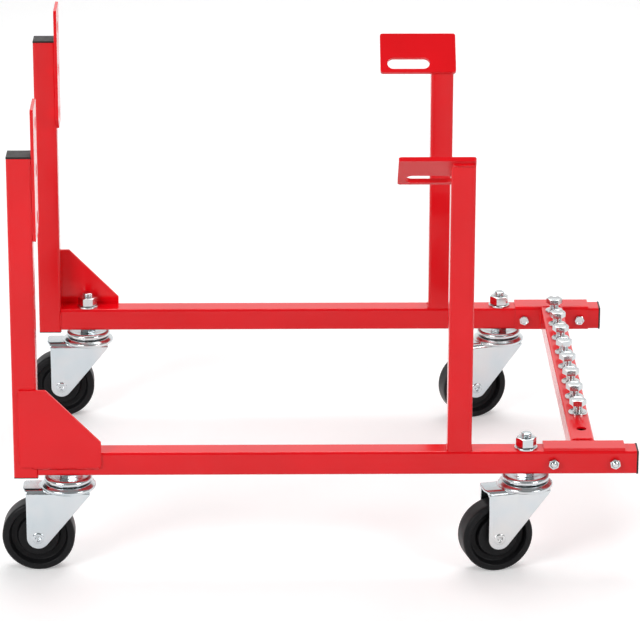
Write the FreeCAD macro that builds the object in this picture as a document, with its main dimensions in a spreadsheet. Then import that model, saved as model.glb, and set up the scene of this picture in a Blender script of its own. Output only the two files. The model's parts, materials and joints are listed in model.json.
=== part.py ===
import FreeCAD, Part
import Sketcher
import math
import os

# Engine cradle: a welded frame of square steel tube on four swivel stem casters.
# It carries an engine by its bell-housing face, at the two rear plates, and by its
# side mounts, at the two slotted brackets on the front uprights.
#
# Frame: +X towards the crossbar (front), +Y to the left, +Z up, millimetres.
# The origin is on the floor, halfway along the stand and on its middle plane.

DIMENSIONS = {
    # frame tubes
    "tube_size": 25.4, "tube_wall": 2.0, "tube_corner": 2.8,
    "frame_width": 482.6, "frame_length": 650.0, "rail_bottom": 106.5,
    "rear_upright_top": 451.2, "rear_upright_foot": 2.0, "front_upright_back": 451.9,
    # plastic tube plugs
    "cap_flange": 2.0, "foot_flange": 1.0, "cap_plug": 14.0, "plug_gap": 0.1,
    "plug_wall": 2.0, "cap_round": 0.8,
    # corner gussets on the outer faces
    "gusset_length": 84.5, "gusset_height": 85.5, "gusset_flat": 28.0,
    "gusset_thick": 3.2, "gusset_back": 7.0,
    "gusset_lift_right": 10.4, "gusset_lift_left": 4.6,
    # rear plates, bolted to the bell housing
    "plate_width": 46.0, "plate_height": 140.0, "plate_thick": 3.5, "plate_setback": 2.0,
    "plate_corner": 13.0, "plate_round": 2.5,
    "plate_top_right": 502.0, "plate_top_left": 494.0,
    "plate_hole": 13.5, "plate_hole_inset": 30.0, "plate_hole_drop": 22.0,
    "plate_hole_pitch": 50.0,
    # slotted mount brackets, sloping down to the inside
    "bracket_width": 50.8, "bracket_thick": 4.8, "bracket_round": 3.0,
    "bracket_slope": 45.0, "bracket_top": 454.0, "bracket_overhang": 4.3,
    "bracket_length_right": 79.0, "bracket_length_left": 86.0,
    "bracket_reach_right": 53.8, "bracket_reach_left": 58.0,
    "slot_length": 48.0, "slot_width": 14.3, "slot_edge": 4.6, "slot_end": 8.0,
    # crossbar, its two saddles and the M6 screws that hold them
    "crossbar_centre": 595.3, "saddle_length": 85.0, "saddle_thick": 3.0,
    "saddle_bend": 4.5, "saddle_setback": 1.8, "saddle_lift": 1.0,
    "saddle_screw_pitch": 64.2, "saddle_screw_hole": 6.6,
    "screw_size": 6.0, "screw_flats": 10.0, "screw_head": 4.0, "screw_proud": 2.5,
    "screw_nut": 5.0,
    # shapes shared by all nuts and screw heads
    "hex_chamfer_slope": 1.7, "hex_chamfer": 0.2, "bore_overrun": 1.0, "head_overlap": 0.5,
    # bolts kept in the crossbar
    "bolt_size": 10.0, "bolt_hole": 10.6, "bolt_flats": 16.0, "bolt_head": 6.4,
    "bolt_gap": 7.6, "bolt_length": 48.0, "bolt_washer": 20.0, "bolt_washer_thick": 2.0,
    "bolt_nut": 8.0, "bolt_first": 198.0, "bolt_pitch": 47.5, "bolt_row": 1.3,
    # casters
    "stem_rear": 56.0, "stem_front": 534.8, "stem_size": 12.0, "stem_hole": 12.6,
    "stem_proud": 17.0, "stem_washer": 24.5, "stem_washer_thick": 2.0,
    "stem_nut_flats": 19.0, "stem_nut": 10.0, "collar_flats": 17.0, "collar_base": 101.5,
    "kingpin_size": 10.0, "kingpin_bore": 10.15, "kingpin_head": 18.0, "kingpin_head_base": 85.7,
    "kingpin_head_top": 89.1, "kingpin_chamfer": 1.4, "stud_chamfer": 1.2, "running_gap": 0.05,
    "race_size": 50.4, "race_base": 97.0, "race_top": 103.4, "race_dish": 40.0,
    "race_bead": 1.9, "race_lip": 0.9, "ball_size": 4.0, "ball_circle": 36.0, "ball_height": 96.6,
    "ball_clearance": 0.08,
    "crown_top": 92.0, "crown_seat": 96.2, "crown_size": 58.0, "crown_skirt": 1.5,
    "crown_seat_size": 50.0, "crown_bead": 1.8,
    "fork_width": 34.0, "fork_steel": 2.5, "fork_bend": 6.0, "fork_tab": 47.6,
    "fork_tab_corner": 9.0, "fork_lobe": 12.0, "fork_front": 23.0,
    "trail": 32.0, "axle_height": 38.1, "axle_size": 8.0, "axle_bore": 8.1,
    "axle_head": 12.5, "axle_head_thick": 1.6, "axle_head_edge": 0.4,
    "bush_size": 12.0, "bush_gap": 0.1, "wheel_bore": 12.12,
    "wheel_size": 76.2, "wheel_width": 25.0, "hub_width": 28.0, "hub_size": 20.0,
    "web_size": 43.0, "rim_size": 61.0, "web_width": 19.0, "groove_width": 7.0,
    "groove_draft": 1.0, "tread_round": 3.0, "rim_round": 1.2,
}

# Where each caster points in its resting pose, in degrees about its own stem.
CASTERS = {
    "rear_right": (-1, "stem_rear", 0.0),
    "rear_left": (1, "stem_rear", 2.0),
    "front_right": (-1, "stem_front", 14.0),
    "front_left": (1, "stem_front", 17.0),
}
SIDES = {"right": -1, "left": 1}
BOLT_COUNT = 8
HOLE_COUNT = 9
BALL_COUNT = 20

doc = FreeCAD.newDocument("engine_stand")
sheet = doc.addObject("Spreadsheet::Sheet", "Dims")
for row, (alias, value) in enumerate(DIMENSIONS.items(), start=1):
    sheet.set(f"A{row}", alias)
    sheet.set(f"B{row}", str(value))
    sheet.setAlias(f"B{row}", alias)
doc.recompute()

# Places that follow from the driving dimensions.
REAR_FACE = ("(-(Dims.frame_length + Dims.cap_flange - Dims.wheel_size / 2"
             " - Dims.trail + Dims.stem_rear) / 2)")
RAIL_MIDDLE = "((Dims.frame_width - Dims.tube_size) / 2)"
RAIL_TOP = "(Dims.rail_bottom + Dims.tube_size)"
CROSSBAR_TOP = f"({RAIL_TOP} + Dims.saddle_thick)"
FOOT = "(Dims.rail_bottom - Dims.rear_upright_foot)"
SCREW_HEIGHT = "(Dims.rail_bottom + Dims.tube_size / 2)"
FLANGE_INNER = "(Dims.frame_width / 2 - Dims.tube_size - Dims.saddle_thick)"

nodes = []


def value_of(expression):
    """The number that an expression over the sheet gives now."""
    result = sheet.evalExpression(str(expression))
    return float(getattr(result, "Value", result))


def bind(item, **expressions):
    """Bind properties of an object to expressions over the sheet."""
    for name, expression in expressions.items():
        item.setExpression(name, str(expression))


def place(item, x="0", y="0", z="0", axis=None, angle=0.0):
    """Put an object at a bound position, turned by an angle about an axis."""
    rotation = FreeCAD.Rotation(FreeCAD.Vector(*(axis or (0, 0, 1))), angle)
    item.Placement = FreeCAD.Placement(FreeCAD.Vector(), rotation)
    for name, expression in (("x", x), ("y", y), ("z", z)):
        item.setExpression(f"Placement.Base.{name}", str(expression))


def new_body(label):
    """A part-design body that becomes one node."""
    body = doc.addObject("PartDesign::Body", label)
    body.Label = label
    if hasattr(body, "AllowCompound"):
        body.AllowCompound = True
    nodes.append(body)
    return body


def new_sketch(body, role, level=None):
    """A sketch on one of the body's own origin planes, raised by a bound level."""
    plane = next(f for f in body.Origin.OriginFeatures if f.Role == role)
    sketch = body.newObject("Sketcher::SketchObject", f"{body.Name}_sketch")
    sketch.AttachmentSupport = [(plane, "")]
    sketch.MapMode = "FlatFace"
    if level is not None:
        sketch.setExpression("AttachmentOffset.Base.z", str(level))
    return sketch


def pin(sketch, geometry, end, x, y):
    """Bind one end of an edge to a point, each coordinate by an expression."""
    for kind, expression in (("DistanceX", x), ("DistanceY", y)):
        constraint = Sketcher.Constraint(kind, -1, 1, geometry, end, value_of(expression))
        index = sketch.addConstraint(constraint)
        sketch.setExpression(f"Constraints[{index}]", str(expression))


def polygon(sketch, corners):
    """A closed outline of straight edges, with every corner bound."""
    points = [FreeCAD.Vector(value_of(x), value_of(y), 0) for x, y in corners]
    lines = []
    for start, end in zip(points, points[1:] + points[:1]):
        lines.append(sketch.addGeometry(Part.LineSegment(start, end), False))
    for line, after in zip(lines, lines[1:] + lines[:1]):
        sketch.addConstraint(Sketcher.Constraint("Coincident", line, 2, after, 1))
    for line, (x, y) in zip(lines, corners):
        pin(sketch, line, 1, x, y)


def rectangle(sketch, x0, y0, x1, y1):
    """A bound rectangle from one corner to the opposite one."""
    polygon(sketch, [(x0, y0), (x1, y0), (x1, y1), (x0, y1)])


def square(sketch, side):
    """A bound square about the sketch's origin."""
    rectangle(sketch, f"-({side}) / 2", f"-({side}) / 2", f"({side}) / 2", f"({side}) / 2")


def circle(sketch, x, y, diameter):
    """A circle with its centre and diameter bound."""
    centre = FreeCAD.Vector(value_of(x), value_of(y), 0)
    shape = Part.Circle(centre, FreeCAD.Vector(0, 0, 1), value_of(diameter) / 2)
    index = sketch.addGeometry(shape, False)
    pin(sketch, index, 3, x, y)
    size = sketch.addConstraint(Sketcher.Constraint("Diameter", index, value_of(diameter)))
    sketch.setExpression(f"Constraints[{size}]", str(diameter))


def hexagon(sketch, flats):
    """A hexagon across the given flats, with two corners on the sketch's X axis."""
    near, far = f"({flats}) / 2", f"({flats}) / 2 / cos(30)"
    half = f"({flats}) / 4 / cos(30)"
    polygon(sketch, [(far, "0"), (half, near), (f"-{half}", near),
                     (f"-{far}", "0"), (f"-{half}", f"-{near}"), (half, f"-{near}")])


def pad(body, sketch, length, midplane=False, reverse=False):
    """Pad a sketch by a bound length."""
    feature = body.newObject("PartDesign::Pad", f"{body.Name}_pad")
    feature.Profile = sketch
    feature.setExpression("Length", str(length))
    if midplane:
        feature.SideType = "Symmetric"
    feature.Reversed = reverse
    return feature


def pocket_through(body, sketch):
    """Cut a sketch right through the body, both ways from its plane."""
    doc.recompute()
    before = body.Shape.Volume
    feature = body.newObject("PartDesign::Pocket", f"{body.Name}_pocket")
    feature.Profile = sketch
    feature.SideType = "Symmetric"
    feature.Length = 4 * DIMENSIONS["frame_length"]
    doc.recompute()
    if body.Shape.Volume >= before:
        raise RuntimeError(f"{feature.Name} cuts nothing")
    return feature


def turn(body, sketch, axis="V_Axis", cut=False):
    """Revolve a sketch a full turn about one of its axes, adding or cutting."""
    kind = "PartDesign::Groove" if cut else "PartDesign::Revolution"
    doc.recompute()
    before = body.Shape.Volume if cut else 0.0
    feature = body.newObject(kind, f"{body.Name}_turn")
    feature.Profile = sketch
    feature.ReferenceAxis = (sketch, [axis])
    feature.Angle = 360.0
    doc.recompute()
    if cut and body.Shape.Volume >= before:
        raise RuntimeError(f"{feature.Name} cuts nothing")
    return feature


def round_edges(body, radius, chosen):
    """Fillet the edges of the body's last feature that a test chooses."""
    doc.recompute()
    base = body.Tip
    names = [f"Edge{i}" for i, edge in enumerate(base.Shape.Edges, start=1) if chosen(edge)]
    if not names:
        raise RuntimeError(f"{body.Name} has no such edge to round")
    feature = body.newObject("PartDesign::Fillet", f"{body.Name}_fillet")
    feature.Base = (base, names)
    feature.setExpression("Radius", str(radius))
    return feature


def runs_along(edge, direction):
    """Whether an edge is straight and parallel to a direction."""
    if edge.Curve.TypeId != "Part::GeomLine":
        return False
    return abs(abs(edge.Curve.Direction.dot(FreeCAD.Vector(*direction))) - 1) < 1e-6


def circle_edge(edge, diameter=None):
    """Whether an edge is a circle of about the given diameter."""
    if edge.Curve.TypeId != "Part::GeomCircle":
        return False
    return diameter is None or abs(2 * edge.Curve.Radius - value_of(diameter)) < 1e-3


def tube(label, role, direction, length):
    """A square tube with rounded corners, padded from a plane of its own body."""
    body = new_body(label)
    sketch = new_sketch(body, role)
    square(sketch, "Dims.tube_size")
    square(sketch, "Dims.tube_size - 2 * Dims.tube_wall")
    pad(body, sketch, length)
    half = DIMENSIONS["tube_size"] / 2
    across = [i for i in range(3) if not direction[i]]

    def outside(edge):
        centre = edge.CenterOfMass
        return runs_along(edge, direction) and all(abs(abs(centre[i]) - half) < 1e-3 for i in across)

    def inside(edge):
        centre = edge.CenterOfMass
        return runs_along(edge, direction) and all(
            abs(abs(centre[i]) - half + DIMENSIONS["tube_wall"]) < 1e-3 for i in across)

    round_edges(body, "Dims.tube_corner", outside)
    round_edges(body, "Dims.tube_corner - Dims.tube_wall", inside)
    doc.recompute()
    return body


def rail(side):
    """A bottom rail, from the rear upright to the front end."""
    sign = SIDES[side]
    body = tube(f"{side}_rail", "YZ_Plane", (1, 0, 0), "Dims.frame_length - Dims.tube_size")
    stems = new_sketch(body, "XY_Plane")
    for stem in ("Dims.stem_rear", "Dims.stem_front"):
        circle(stems, f"{stem} - Dims.tube_size", "0", "Dims.stem_hole")
    pocket_through(body, stems)
    screws = new_sketch(body, "XZ_Plane")
    for shift in ("-", "+"):
        circle(screws, f"Dims.crossbar_centre - Dims.tube_size {shift} Dims.saddle_screw_pitch / 2",
               "0", "Dims.saddle_screw_hole")
    pocket_through(body, screws)
    place(body, f"{REAR_FACE} + Dims.tube_size", f"{sign} * {RAIL_MIDDLE}", SCREW_HEIGHT)


def rear_upright(side):
    """A rear corner post, from just below the rail to the middle of the rear plate."""
    body = tube(f"{side}_rear_upright", "XY_Plane", (0, 0, 1),
                f"Dims.rear_upright_top - {FOOT}")
    place(body, f"{REAR_FACE} + Dims.tube_size / 2", f"{SIDES[side]} * {RAIL_MIDDLE}", FOOT)


def front_upright(side):
    """A front post on the rail, cut at its top to the slope of the mount bracket."""
    sign = SIDES[side]
    body = tube(f"{side}_front_upright", "XY_Plane", (0, 0, 1),
                f"Dims.bracket_top - {RAIL_TOP}")
    # The cut follows the underside of the bracket, highest at the outer face.
    drop = "(Dims.bracket_overhang + Dims.bracket_thick / sin(Dims.bracket_slope))"
    outer = f"(Dims.bracket_top - {RAIL_TOP} - {drop})"
    inner = f"({outer} - Dims.tube_size)"
    cut = new_sketch(body, "YZ_Plane")
    polygon(cut, [(f"{sign} * Dims.tube_size / 2", outer),
                  (f"{sign} * Dims.tube_size", f"{outer} + Dims.tube_size / 2"),
                  (f"{sign} * Dims.tube_size", "Dims.bracket_top"),
                  (f"{-sign} * Dims.tube_size", "Dims.bracket_top"),
                  (f"{-sign} * Dims.tube_size", f"{inner} - Dims.tube_size / 2"),
                  (f"{-sign} * Dims.tube_size / 2", inner)])
    pocket_through(body, cut)
    place(body, f"{REAR_FACE} + Dims.front_upright_back + Dims.tube_size / 2",
          f"{sign} * {RAIL_MIDDLE}", RAIL_TOP)


def gusset(side):
    """A corner plate welded over the outer faces of the rear upright and the rail."""
    sign = SIDES[side]
    body = new_body(f"{side}_gusset")
    outline = new_sketch(body, "XZ_Plane")
    polygon(outline, [("0", "0"), ("Dims.gusset_length", "0"),
                      ("Dims.gusset_length", "Dims.gusset_flat"),
                      ("Dims.gusset_flat", "Dims.gusset_height"), ("0", "Dims.gusset_height")])
    pad(body, outline, "Dims.gusset_thick", reverse=sign > 0)
    place(body, f"{REAR_FACE} + Dims.gusset_back", f"{sign} * Dims.frame_width / 2",
          f"Dims.rail_bottom + Dims.gusset_lift_{side}")


def rear_plate(side):
    """An upright plate on the front face of the rear upright, with three bolt holes."""
    sign = SIDES[side]
    body = new_body(f"{side}_rear_plate")
    outline = new_sketch(body, "YZ_Plane")
    inner = f"{-sign} * Dims.plate_width"
    polygon(outline, [("0", "0"), ("0", "-Dims.plate_height"),
                      (f"{-sign} * (Dims.plate_width - Dims.plate_corner)", "-Dims.plate_height"),
                      (inner, "-Dims.plate_height + Dims.plate_corner"), (inner, "0")])
    pad(body, outline, "Dims.plate_thick")
    corners = (0.0, -sign * DIMENSIONS["plate_width"])
    round_edges(body, "Dims.plate_round", lambda edge: runs_along(edge, (1, 0, 0)) and any(
        abs(edge.CenterOfMass.y - corner) < 1e-3 for corner in corners))
    holes = new_sketch(body, "YZ_Plane")
    for row in range(3):
        circle(holes, f"{-sign} * Dims.plate_hole_inset",
               f"-Dims.plate_hole_drop - {row} * Dims.plate_hole_pitch", "Dims.plate_hole")
    pocket_through(body, holes)
    place(body, f"{REAR_FACE} + Dims.tube_size",
          f"{sign} * (Dims.frame_width / 2 - Dims.plate_setback)", f"Dims.plate_top_{side}")


def mount_bracket(side):
    """A flat plate with one slot, on the sloped top of a front upright."""
    sign = SIDES[side]
    body = new_body(f"{side}_mount_bracket")
    length = f"Dims.bracket_length_{side}"
    outline = new_sketch(body, "XY_Plane")
    # Local Y runs up the slope, from the outer edge at zero to the lower inner edge.
    rectangle(outline, "0", "0", length, f"{-sign} * Dims.bracket_width")
    pad(body, outline, "Dims.bracket_thick", reverse=True)
    round_edges(body, "Dims.bracket_round", lambda edge: runs_along(edge, (0, 0, 1)))
    slot = new_sketch(body, "XY_Plane")
    middle = f"{-sign} * (Dims.bracket_width - Dims.slot_edge - Dims.slot_width / 2)"
    slot_hole(slot, "Dims.slot_end", middle)
    pocket_through(body, slot)
    place(body, f"{REAR_FACE} + Dims.front_upright_back - Dims.bracket_reach_{side}",
          f"{sign} * (Dims.frame_width / 2 + Dims.bracket_overhang)", "Dims.bracket_top",
          axis=(1, 0, 0), angle=sign * DIMENSIONS["bracket_slope"])


def slot_hole(sketch, start, middle):
    """A round-ended slot along the sketch's X axis."""
    x0 = f"({start} + Dims.slot_width / 2)"
    x1 = f"({start} + Dims.slot_length - Dims.slot_width / 2)"
    radius = value_of("Dims.slot_width") / 2
    left, right, level = value_of(x0), value_of(x1), value_of(middle)
    up = FreeCAD.Vector(0, 0, 1)
    caps = []
    for centre, begin in ((left, math.pi / 2), (right, -math.pi / 2)):
        ring = Part.Circle(FreeCAD.Vector(centre, level, 0), up, radius)
        caps.append(sketch.addGeometry(Part.ArcOfCircle(ring, begin, begin + math.pi), False))
    edges = []
    for offset in (radius, -radius):
        start_point = FreeCAD.Vector(left, level + offset, 0)
        end_point = FreeCAD.Vector(right, level + offset, 0)
        edges.append(sketch.addGeometry(Part.LineSegment(start_point, end_point), False))
    upper, lower = edges
    for first, end, second, other in ((upper, 1, caps[0], 1), (lower, 1, caps[0], 2),
                                      (lower, 2, caps[1], 1), (upper, 2, caps[1], 2)):
        sketch.addConstraint(Sketcher.Constraint("Tangent", first, end, second, other))
    pin(sketch, caps[0], 3, x0, middle)
    pin(sketch, caps[1], 3, x1, middle)
    size = sketch.addConstraint(Sketcher.Constraint("Radius", caps[0], radius))
    sketch.setExpression(f"Constraints[{size}]", "Dims.slot_width / 2")


def saddle(side):
    """A bent plate over the rail: a top leg on it and a flange down its inner face."""
    sign = SIDES[side]
    body = new_body(f"{side}_saddle")
    inward = -sign
    out = "Dims.saddle_thick"
    bottom = "-Dims.tube_size + Dims.saddle_lift"
    width = "Dims.tube_size - Dims.saddle_setback"
    profile = new_sketch(body, "YZ_Plane")
    polygon(profile, [(f"{inward} * {out}", bottom), ("0", bottom), ("0", "0"),
                      (f"{sign} * ({width})", "0"), (f"{sign} * ({width})", out),
                      (f"{inward} * {out}", out)])
    pad(body, profile, "Dims.saddle_length", midplane=True)
    bend = inward * DIMENSIONS["saddle_thick"]
    round_edges(body, "Dims.saddle_bend", lambda edge: (
        runs_along(edge, (1, 0, 0)) and abs(edge.CenterOfMass.y - bend) < 1e-3
        and edge.CenterOfMass.z > 0))
    holes = new_sketch(body, "XZ_Plane")
    for shift in ("-", "+"):
        circle(holes, f"{shift} Dims.saddle_screw_pitch / 2", "-Dims.tube_size / 2",
               "Dims.saddle_screw_hole")
    pocket_through(body, holes)
    place(body, f"{REAR_FACE} + Dims.crossbar_centre",
          f"{sign} * (Dims.frame_width / 2 - Dims.tube_size)", RAIL_TOP)


def crossbar():
    """The front tube between the saddle flanges, with a row of holes that keep the bolts."""
    length = f"2 * {FLANGE_INNER}"
    body = tube("crossbar", "XZ_Plane", (0, 1, 0), length)
    holes = new_sketch(body, "XY_Plane")
    for count in range(HOLE_COUNT):
        y = f"-{FLANGE_INNER} + Dims.bolt_first - {count} * Dims.bolt_pitch"
        circle(holes, "Dims.bolt_row", y, "Dims.bolt_hole")
    pocket_through(body, holes)
    place(body, f"{REAR_FACE} + Dims.crossbar_centre", FLANGE_INNER,
          f"{CROSSBAR_TOP} - Dims.tube_size / 2")


def plug(name, flange_thick):
    """One tube plug: a flange over the tube's end and a hollow insert below it."""
    side = "Dims.tube_size"
    bore = f"({side} - 2 * Dims.tube_wall - 2 * Dims.plug_gap)"
    core = f"({bore} - 2 * Dims.plug_wall)"
    flange = doc.addObject("Part::Box", f"{name}_flange")
    bind(flange, Length=side, Width=side, Height=flange_thick)
    insert = doc.addObject("Part::Box", f"{name}_insert")
    bind(insert, Length=bore, Width=bore, Height="Dims.cap_plug")
    hollow = doc.addObject("Part::Box", f"{name}_hollow")
    bind(hollow, Length=core, Width=core, Height="Dims.cap_plug")
    for item, size, level in ((flange, side, "0"), (insert, bore, "-Dims.cap_plug"),
                              (hollow, core, "-Dims.cap_plug")):
        place(item, f"-{size} / 2", f"-{size} / 2", level)
    doc.recompute()
    rounding = DIMENSIONS["cap_round"]
    top = [i for i, edge in enumerate(flange.Shape.Edges, start=1)
           if runs_along(edge, (0, 0, 1)) or edge.CenterOfMass.z > value_of(flange_thick) - 1e-3]
    soft = doc.addObject("Part::Fillet", f"{name}_soft")
    soft.Base = flange
    soft.Edges = [(i, rounding, rounding) for i in top]
    shell = doc.addObject("Part::Cut", f"{name}_shell")
    shell.Base = insert
    shell.Tool = hollow
    whole = doc.addObject("Part::Fuse", f"{name}_whole")
    whole.Base = soft
    whole.Tool = shell
    return whole


def group(label, parts):
    """Identical pieces that share one node, as a compound of separate solids."""
    compound = doc.addObject("Part::Compound", label)
    compound.Label = label
    compound.Links = parts
    nodes.append(compound)


def tube_caps():
    """Black plugs in the open ends of the rear uprights and of the rails."""
    upright = f"{REAR_FACE} + Dims.tube_size / 2"
    places = {
        "upright_top_cap": (upright, "Dims.rear_upright_top", (0, 0, 1), 0.0, "Dims.cap_flange"),
        "upright_bottom_cap": (upright, FOOT, (1, 0, 0), 180.0, "Dims.foot_flange"),
        "rail_end_cap": (f"{REAR_FACE} + Dims.frame_length", SCREW_HEIGHT, (0, 1, 0), 90.0,
                         "Dims.cap_flange"),
    }
    for name, (x, z, axis, angle, flange_thick) in places.items():
        caps = []
        for side, sign in SIDES.items():
            cap = plug(f"{name}_{side}", flange_thick)
            place(cap, x, f"{sign} * {RAIL_MIDDLE}", z, axis, angle)
            caps.append(cap)
        group(f"{name}s", caps)


def hex_piece(name, flats, thickness):
    """A hexagon prism with its corners turned off at the top, as on a nut or a bolt head."""
    prism = doc.addObject("Part::Prism", f"{name}_hex")
    prism.Polygon = 6
    bind(prism, Circumradius=f"{flats} / 2 / cos(30)", Height=thickness)
    cone = doc.addObject("Part::Cone", f"{name}_cone")
    bind(cone, Radius1=f"{flats} / 2 + {thickness} * Dims.hex_chamfer_slope",
         Radius2=f"{flats} / 2 - Dims.hex_chamfer", Height=thickness)
    piece = doc.addObject("Part::Common", f"{name}_chamfered")
    piece.Base = prism
    piece.Tool = cone
    return piece


def rod(name, diameter, length, level="0"):
    """A plain round rod, standing on a level."""
    item = doc.addObject("Part::Cylinder", name)
    bind(item, Radius=f"{diameter} / 2", Height=length)
    place(item, z=level)
    return item


def hex_nut(name, flats, thickness, bore):
    """A hex nut with a plain bore."""
    nut = doc.addObject("Part::Cut", name)
    nut.Base = hex_piece(name, flats, thickness)
    nut.Tool = rod(f"{name}_bore", bore, f"{thickness} + 2 * Dims.bore_overrun", "-Dims.bore_overrun")
    return nut


def washer(name, diameter, thickness, bore):
    """A flat round washer."""
    ring = doc.addObject("Part::Cut", name)
    ring.Base = rod(f"{name}_disc", diameter, thickness)
    ring.Tool = rod(f"{name}_bore", bore, f"{thickness} + 2 * Dims.bore_overrun", "-Dims.bore_overrun")
    return ring


def hex_screw(name, flats, head, diameter, length):
    """A hex-head screw: its shank hangs below the plane of the head's underside."""
    screw = doc.addObject("Part::Fuse", name)
    screw.Base = hex_piece(name, flats, head)
    screw.Tool = rod(f"{name}_shank", diameter, f"{length} + Dims.head_overlap", f"-({length})")
    return screw


def saddle_screws():
    """M6 screws through each saddle flange and rail, heads inside and nuts outside."""
    screws = []
    nuts = []
    reach = "Dims.saddle_thick + Dims.tube_size + Dims.screw_nut + Dims.screw_proud"
    for side, sign in SIDES.items():
        for end, shift in (("rear", "-"), ("front", "+")):
            x = f"{REAR_FACE} + Dims.crossbar_centre {shift} Dims.saddle_screw_pitch / 2"
            screw = hex_screw(f"saddle_screw_{side}_{end}", "Dims.screw_flats", "Dims.screw_head",
                              "(Dims.screw_size - 0.1)", reach)
            place(screw, x, f"{sign} * {FLANGE_INNER}", SCREW_HEIGHT, (1, 0, 0), sign * 90.0)
            nut = hex_nut(f"saddle_nut_{side}_{end}", "Dims.screw_flats", "Dims.screw_nut",
                          "Dims.screw_size")
            place(nut, x, f"{sign} * Dims.frame_width / 2", SCREW_HEIGHT, (1, 0, 0), -sign * 90.0)
            screws.append(screw)
            nuts.append(nut)
    group("saddle_bolts", screws)
    group("saddle_nuts", nuts)


def stored_bolts():
    """The engine bolts kept in the crossbar, each with a washer above and a nut below."""
    bolts = []
    washers = []
    nuts = []
    x = f"{REAR_FACE} + Dims.crossbar_centre + Dims.bolt_row"
    for count in range(BOLT_COUNT):
        y = f"Dims.bolt_first - {count} * Dims.bolt_pitch"
        bolt = hex_screw(f"stored_bolt_{count + 1}", "Dims.bolt_flats", "Dims.bolt_head",
                         "(Dims.bolt_size - 0.1)", "Dims.bolt_length")
        place(bolt, x, y, f"{CROSSBAR_TOP} + Dims.bolt_washer_thick + Dims.bolt_gap",
              (0, 0, 1), 15.0 * count)
        ring = washer(f"stored_washer_{count + 1}", "Dims.bolt_washer",
                      "Dims.bolt_washer_thick", "Dims.bolt_hole")
        place(ring, x, y, CROSSBAR_TOP)
        nut = hex_nut(f"stored_nut_{count + 1}", "Dims.bolt_flats", "Dims.bolt_nut",
                      "Dims.bolt_size")
        place(nut, x, y, f"{CROSSBAR_TOP} - Dims.tube_size", (1, 0, 0), 180.0)
        bolts.append(bolt)
        washers.append(ring)
        nuts.append(nut)
    group("storage_bolts", bolts)
    group("storage_washers", washers)
    group("storage_nuts", nuts)


def stem_fasteners():
    """The nut and the washer that hold each caster stem on top of its rail."""
    nuts = []
    rings = []
    for name, (sign, stem, _) in CASTERS.items():
        x, y = f"{REAR_FACE} + Dims.{stem}", f"{sign} * {RAIL_MIDDLE}"
        ring = washer(f"{name}_washer", "Dims.stem_washer", "Dims.stem_washer_thick",
                      "Dims.stem_hole")
        place(ring, x, y, RAIL_TOP)
        nut = hex_nut(f"{name}_nut", "Dims.stem_nut_flats", "Dims.stem_nut", "Dims.stem_size")
        place(nut, x, y, f"{RAIL_TOP} + Dims.stem_washer_thick")
        nuts.append(nut)
        rings.append(ring)
    group("stem_nuts", nuts)
    group("stem_washers", rings)


def caster_stem(name):
    """The fixed stem: a threaded stud, a hex collar under the rail and a riveted kingpin."""
    body = new_body(f"{name}_caster_stem")
    stud, pin_radius = "(Dims.stem_size - 0.1) / 2", "Dims.kingpin_size / 2"
    top = f"{RAIL_TOP} + Dims.stem_proud"
    profile = new_sketch(body, "XZ_Plane")
    polygon(profile, [("0", "Dims.kingpin_head_base"),
                      ("Dims.kingpin_head / 2 - Dims.kingpin_chamfer", "Dims.kingpin_head_base"),
                      ("Dims.kingpin_head / 2", "Dims.kingpin_head_base + Dims.kingpin_chamfer"),
                      ("Dims.kingpin_head / 2", "Dims.kingpin_head_top"),
                      (pin_radius, "Dims.kingpin_head_top"), (pin_radius, "Dims.collar_base"),
                      (stud, "Dims.collar_base"), (stud, f"{top} - Dims.stud_chamfer"),
                      (f"{stud} - Dims.stud_chamfer", top), ("0", top)])
    turn(body, profile)
    collar = new_sketch(body, "XY_Plane", "Dims.collar_base")
    hexagon(collar, "Dims.collar_flats")
    pad(body, collar, "Dims.rail_bottom - Dims.collar_base")
    return body


def ball_groove(body):
    """The round groove that the ring of balls runs in."""
    groove = new_sketch(body, "XZ_Plane")
    circle(groove, "Dims.ball_circle / 2", "Dims.ball_height",
           "Dims.ball_size + 2 * Dims.ball_clearance")
    turn(body, groove, cut=True)


def caster_race(name):
    """The pressed upper race: a dished cup with a rounded rim, fixed under the collar."""
    body = new_body(f"{name}_caster_race")
    bore = "(Dims.kingpin_size / 2 + Dims.running_gap)"
    rim, dish = "Dims.race_size / 2", "Dims.race_dish / 2"
    profile = new_sketch(body, "XZ_Plane")
    polygon(profile, [(bore, "Dims.race_base"), (rim, "Dims.race_base"), (rim, "Dims.race_top"),
                      (dish, "Dims.race_top"), (dish, "Dims.collar_base"),
                      (bore, "Dims.collar_base")])
    turn(body, profile)
    round_edges(body, "Dims.race_bead", lambda edge: circle_edge(edge, "Dims.race_size"))
    round_edges(body, "Dims.race_lip", lambda edge: (
        circle_edge(edge, "Dims.race_dish") and edge.CenterOfMass.z > value_of("Dims.collar_base")))
    ball_groove(body)
    return body


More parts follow.
